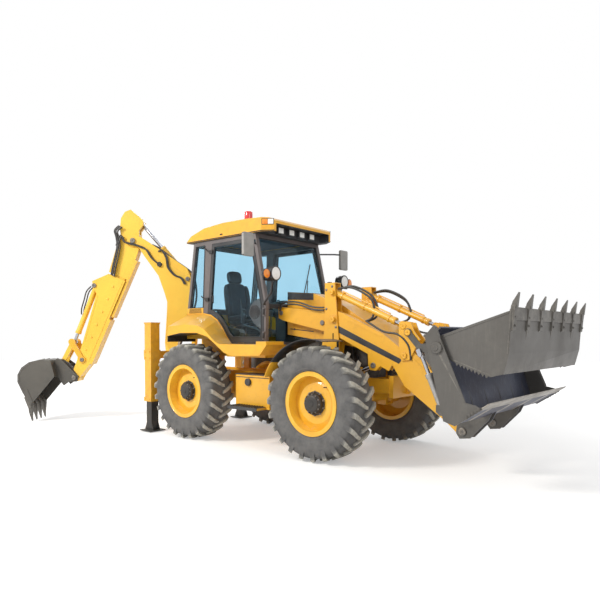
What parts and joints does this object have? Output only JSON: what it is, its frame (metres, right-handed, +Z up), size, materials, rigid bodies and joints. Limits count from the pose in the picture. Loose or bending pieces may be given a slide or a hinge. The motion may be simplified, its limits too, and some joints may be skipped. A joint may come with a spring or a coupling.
{
  "type": "backhoe loader",
  "caption": "Wheeled backhoe loader with a clamshell front bucket on lifting arms, a glazed cab, stabiliser legs and a side-shifting, swinging backhoe with an extending dipper.",
  "frame": {"origin": "on the ground in the middle of the parked machine's plan", "axes": "+X towards the front, +Y to the machine's left, +Z up"},
  "size_m": [8.8443, 3.3052, 3.8263],
  "materials": {
    "yellow_paint": "semi-gloss paint with light dust",
    "rim_paint": "semi-gloss paint",
    "dark_paint": "satin black",
    "worn_steel": "worn steel with traces of paint",
    "chrome": "polished",
    "tyre": "matt and dusty",
    "glass": "clear, lightly tinted",
    "fabric": "woven",
    "cast_iron": "oily",
    "lamp_plastic": "moulded"
  },
  "bodies": {
    "machine": {"chassis_frame": "yellow_paint", "engine_block": "cast_iron", "loader_towers": "yellow_paint", "radiator_grille": "dark_paint", "side_tanks": "dark_paint", "axles": "dark_paint", "cab_base": "yellow_paint", "cab_frame": "dark_paint", "cab_roof": "yellow_paint", "cab_glass": "glass", "seat": "fabric", "steering_column": "dark_paint", "work_lamps": "lamp_plastic", "mirrors": "dark_paint", "stabiliser_frame": "yellow_paint"},
    "bonnet": {"bonnet": "yellow_paint"},
    "door_left": {"door_left": "dark_paint", "door_glass_left": "glass"},
    "door_right": {"door_right": "dark_paint", "door_glass_right": "glass"},
    "steer_front_left": {"knuckle_front_left": "dark_paint"},
    "wheel_front_left": {"tyre_front_left": "tyre", "rim_front_left": "rim_paint"},
    "steer_front_right": {"knuckle_front_right": "dark_paint"},
    "wheel_front_right": {"tyre_front_right": "tyre", "rim_front_right": "rim_paint"},
    "steer_rear_left": {"knuckle_rear_left": "dark_paint"},
    "wheel_rear_left": {"tyre_rear_left": "tyre", "rim_rear_left": "rim_paint"},
    "steer_rear_right": {"knuckle_rear_right": "dark_paint"},
    "wheel_rear_right": {"tyre_rear_right": "tyre", "rim_rear_right": "rim_paint"},
    "loader_arms": {"loader_arms": "yellow_paint"},
    "lift_barrels": {"lift_barrels": "yellow_paint"},
    "lift_rods": {"lift_rods": "chrome"},
    "tilt_barrels": {"tilt_barrels": "yellow_paint"},
    "tilt_rods": {"tilt_rods": "chrome"},
    "tilt_levers": {"tilt_levers": "yellow_paint"},
    "tilt_links": {"tilt_links": "yellow_paint"},
    "loader_bucket": {"loader_bucket": "worn_steel"},
    "clam_bucket": {"clam_bucket": "worn_steel"},
    "clam_barrels": {"clam_barrels": "yellow_paint"},
    "clam_rods": {"clam_rods": "chrome"},
    "stabiliser_leg_left": {"stabiliser_leg_left": "worn_steel"},
    "stabiliser_leg_right": {"stabiliser_leg_right": "worn_steel"},
    "carriage": {"carriage": "yellow_paint"},
    "swing_post": {"swing_post": "yellow_paint"},
    "boom": {"boom": "yellow_paint"},
    "boom_ram_barrel": {"boom_ram_barrel": "yellow_paint"},
    "boom_ram_rod": {"boom_ram_rod": "chrome"},
    "dipper": {"dipper": "yellow_paint"},
    "dipper_ram_barrel": {"dipper_ram_barrel": "yellow_paint"},
    "dipper_ram_rod": {"dipper_ram_rod": "chrome"},
    "dipper_slide": {"dipper_slide": "yellow_paint"},
    "bucket_ram_barrel": {"bucket_ram_barrel": "yellow_paint"},
    "bucket_ram_rod": {"bucket_ram_rod": "chrome"},
    "tipping_lever": {"tipping_lever": "yellow_paint"},
    "tipping_link": {"tipping_link": "worn_steel"},
    "digging_bucket": {"digging_bucket": "worn_steel"}
  },
  "joints": [
    {"name": "bonnet_hinge", "type": "hinge", "parent": "machine", "child": "bonnet", "pos_m": [0.965, 0.41, 2.112], "axis": [0, -1, 0], "range_deg": [0, 45]},
    {"name": "door_left_hinge", "type": "hinge", "parent": "machine", "child": "door_left", "pos_m": [0.817, 1.164, 1.40023], "axis": [0, 0.0162, -0.9999], "range_deg": [0, 80]},
    {"name": "door_right_hinge", "type": "hinge", "parent": "machine", "child": "door_right", "pos_m": [0.817, -0.344, 1.40023], "axis": [0, 0.0162, 0.9999], "range_deg": [0, 80]},
    {"name": "steer_front_left", "type": "hinge", "parent": "machine", "child": "steer_front_left", "pos_m": [1.94, 1.13, 0.715], "axis": [0, 0, 1], "range_deg": [-18, 18]},
    {"name": "wheel_front_left_spin", "type": "hinge", "parent": "steer_front_left", "child": "wheel_front_left", "pos_m": [1.94, 1.33, 0.715], "axis": [0, 1, 0], "continuous": true},
    {"name": "steer_front_right", "type": "hinge", "parent": "machine", "child": "steer_front_right", "pos_m": [1.94, -0.31, 0.715], "axis": [0, 0, 1], "range_deg": [-18, 18]},
    {"name": "wheel_front_right_spin", "type": "hinge", "parent": "steer_front_right", "child": "wheel_front_right", "pos_m": [1.94, -0.51, 0.715], "axis": [0, 1, 0], "continuous": true},
    {"name": "steer_rear_left", "type": "hinge", "parent": "machine", "child": "steer_rear_left", "pos_m": [-0.51, 1.13, 0.715], "axis": [0, 0, 1], "range_deg": [-18, 18]},
    {"name": "wheel_rear_left_spin", "type": "hinge", "parent": "steer_rear_left", "child": "wheel_rear_left", "pos_m": [-0.51, 1.33, 0.715], "axis": [0, 1, 0], "continuous": true},
    {"name": "steer_rear_right", "type": "hinge", "parent": "machine", "child": "steer_rear_right", "pos_m": [-0.51, -0.31, 0.715], "axis": [0, 0, 1], "range_deg": [-18, 18]},
    {"name": "wheel_rear_right_spin", "type": "hinge", "parent": "steer_rear_right", "child": "wheel_rear_right", "pos_m": [-0.51, -0.51, 0.715], "axis": [0, 1, 0], "continuous": true},
    {"name": "loader_lift", "type": "hinge", "parent": "machine", "child": "loader_arms", "pos_m": [1.84, 0.41, 1.76], "axis": [0, -1, 0], "range_deg": [-8, 65]},
    {"name": "lift_barrels_swing", "type": "hinge", "parent": "machine", "child": "lift_barrels", "pos_m": [1.42, 0.41, 0.76], "axis": [0, -1, 0], "range_deg": [-3.27, 24.62]},
    {"name": "lift_rods_slide", "type": "slide", "parent": "lift_barrels", "child": "lift_rods", "axis": [0.9247, 0, 0.3808], "range_m": [-0.0885, 0.7046]},
    {"name": "bucket_tilt", "type": "hinge", "parent": "loader_arms", "child": "loader_bucket", "pos_m": [3.61, 0.41, 0.49], "axis": [0, 1, 0], "range_deg": [-15, 95]},
    {"name": "tilt_levers_swing", "type": "hinge", "parent": "loader_arms", "child": "tilt_levers", "pos_m": [2.88, 0.41, 1.31], "axis": [0, 1, 0], "range_deg": [-16.1, 96.1]},
    {"name": "tilt_links_swing", "type": "hinge", "parent": "tilt_levers", "child": "tilt_links", "pos_m": [2.94, 0.41, 1.585], "axis": [0, 1, 0], "range_deg": [-96.1, 16.1]},
    {"name": "tilt_barrels_swing", "type": "hinge", "parent": "machine", "child": "tilt_barrels", "pos_m": [1.83, 0.41, 2.11], "axis": [0, -1, 0], "range_deg": [-9.17, 69.02]},
    {"name": "tilt_rods_slide", "type": "slide", "parent": "tilt_barrels", "child": "tilt_rods", "axis": [0.9178, 0, -0.3971], "range_m": [-0.0886, 0.5503]},
    {"name": "clam_close", "type": "hinge", "parent": "loader_bucket", "child": "clam_bucket", "pos_m": [3.664, 0.41, 1.424], "axis": [0, 1, 0], "range_deg": [-40, 34]},
    {"name": "clam_barrels_swing", "type": "hinge", "parent": "loader_bucket", "child": "clam_barrels", "pos_m": [3.685, 0.41, 0.8], "axis": [0, 1, 0], "range_deg": [-4.47, 3.81]},
    {"name": "clam_rods_slide", "type": "slide", "parent": "clam_barrels", "child": "clam_rods", "axis": [-0.3981, 0, 0.9173], "range_m": [-0.1675, 0.1426]},
    {"name": "stabiliser_left_raise", "type": "slide", "parent": "machine", "child": "stabiliser_leg_left", "axis": [0, 0, 1], "range_m": [-0.08, 0.45]},
    {"name": "stabiliser_right_raise", "type": "slide", "parent": "machine", "child": "stabiliser_leg_right", "axis": [0, 0, 1], "range_m": [-0.08, 0.45]},
    {"name": "side_shift", "type": "slide", "parent": "machine", "child": "carriage", "axis": [0, -1, 0], "range_m": [-0.35, 0.75]},
    {"name": "swing", "type": "hinge", "parent": "carriage", "child": "swing_post", "pos_m": [-1.81, 0.61, 0.75], "axis": [0, 0, 1], "range_deg": [-130, 50]},
    {"name": "boom_raise", "type": "hinge", "parent": "swing_post", "child": "boom", "pos_m": [-2.07812, 0.38502, 0.8], "axis": [-0.6428, 0.766, 0], "range_deg": [-70, 12]},
    {"name": "boom_ram_swing", "type": "hinge", "parent": "swing_post", "child": "boom_ram_barrel", "pos_m": [-1.84064, 0.58429, 1.09], "axis": [-0.6428, 0.766, 0], "range_deg": [-77.66, 14.06]},
    {"name": "boom_ram_slide", "type": "slide", "parent": "boom_ram_barrel", "child": "boom_ram_rod", "axis": [0.0533, 0.0447, 0.9976], "range_m": [-0.079, 0.4514]},
    {"name": "dipper_crowd", "type": "hinge", "parent": "boom", "child": "dipper", "pos_m": [-2.65265, -0.09707, 3.26], "axis": [0.6428, -0.766, 0], "range_deg": [-95, 15]},
    {"name": "dipper_ram_swing", "type": "hinge", "parent": "boom", "child": "dipper_ram_barrel", "pos_m": [-1.89426, 0.53929, 2.57], "axis": [-0.6428, 0.766, 0], "range_deg": [-6.42, 1.08]},
    {"name": "dipper_ram_slide", "type": "slide", "parent": "dipper_ram_barrel", "child": "dipper_ram_rod", "axis": [-0.4936, -0.4142, 0.7648], "range_m": [-0.5264, 0.0848]},
    {"name": "dipper_extend", "type": "slide", "parent": "dipper", "child": "dipper_slide", "axis": [0.3067, 0.2573, 0.9164], "range_m": [-1.1, 0]},
    {"name": "bucket_curl", "type": "hinge", "parent": "dipper_slide", "child": "digging_bucket", "pos_m": [-3.47855, -0.79008, 0.79224], "axis": [0.6428, -0.766, 0], "range_deg": [-20, 110]},
    {"name": "bucket_ram_swing", "type": "hinge", "parent": "dipper_slide", "child": "bucket_ram_barrel", "pos_m": [-3.19712, -0.55393, 2.45743], "axis": [-0.6428, 0.766, 0], "range_deg": [-0.8024, 0.1544]},
    {"name": "bucket_ram_slide", "type": "slide", "parent": "bucket_ram_barrel", "child": "bucket_ram_rod", "axis": [-0.2874, -0.2412, -0.9269], "range_m": [-0.1001, 0.5415]},
    {"name": "tipping_lever_swing", "type": "hinge", "parent": "dipper_slide", "child": "tipping_lever", "pos_m": [-3.37029, -0.69924, 1.11571], "axis": [0.6428, -0.766, 0], "range_deg": [-18.96, 99.06]},
    {"name": "tipping_link_swing", "type": "hinge", "parent": "tipping_lever", "child": "tipping_link", "pos_m": [-3.51341, -0.81933, 1.43742], "axis": [0.6428, -0.766, 0], "range_deg": [-73.46, 14.06]}
  ],
  "couplings": [
    {"joint": "steer_front_right", "follows": "steer_front_left", "ratio": 1},
    {"joint": "steer_rear_left", "follows": "steer_front_left", "ratio": -1},
    {"joint": "steer_rear_right", "follows": "steer_front_left", "ratio": -1},
    {"joint": "lift_barrels_swing", "follows": "loader_lift", "ratio": 0.3745},
    {"joint": "lift_rods_slide", "follows": "loader_lift", "m_per_rad": 0.6193},
    {"joint": "tilt_levers_swing", "follows": "bucket_tilt", "ratio": 1},
    {"joint": "tilt_links_swing", "follows": "bucket_tilt", "ratio": -1},
    {"joint": "tilt_barrels_swing", "follows": "loader_lift", "ratio": 1.05},
    {"joint": "tilt_rods_slide", "follows": "bucket_tilt", "m_per_rad": 0.3307},
    {"joint": "clam_barrels_swing", "follows": "clam_close", "ratio": 0.1097},
    {"joint": "clam_rods_slide", "follows": "clam_close", "m_per_rad": 0.237},
    {"joint": "boom_ram_swing", "follows": "boom_raise", "ratio": 1.0965},
    {"joint": "boom_ram_slide", "follows": "boom_raise", "m_per_rad": -0.3678},
    {"joint": "dipper_ram_swing", "follows": "dipper_crowd", "ratio": 0.0668},
    {"joint": "dipper_ram_slide", "follows": "dipper_crowd", "m_per_rad": 0.3163},
    {"joint": "bucket_ram_swing", "follows": "bucket_curl", "ratio": -0.0072},
    {"joint": "bucket_ram_slide", "follows": "bucket_curl", "m_per_rad": 0.281},
    {"joint": "tipping_lever_swing", "follows": "bucket_curl", "ratio": 0.89},
    {"joint": "tipping_link_swing", "follows": "bucket_curl", "ratio": -0.66}
  ]
}
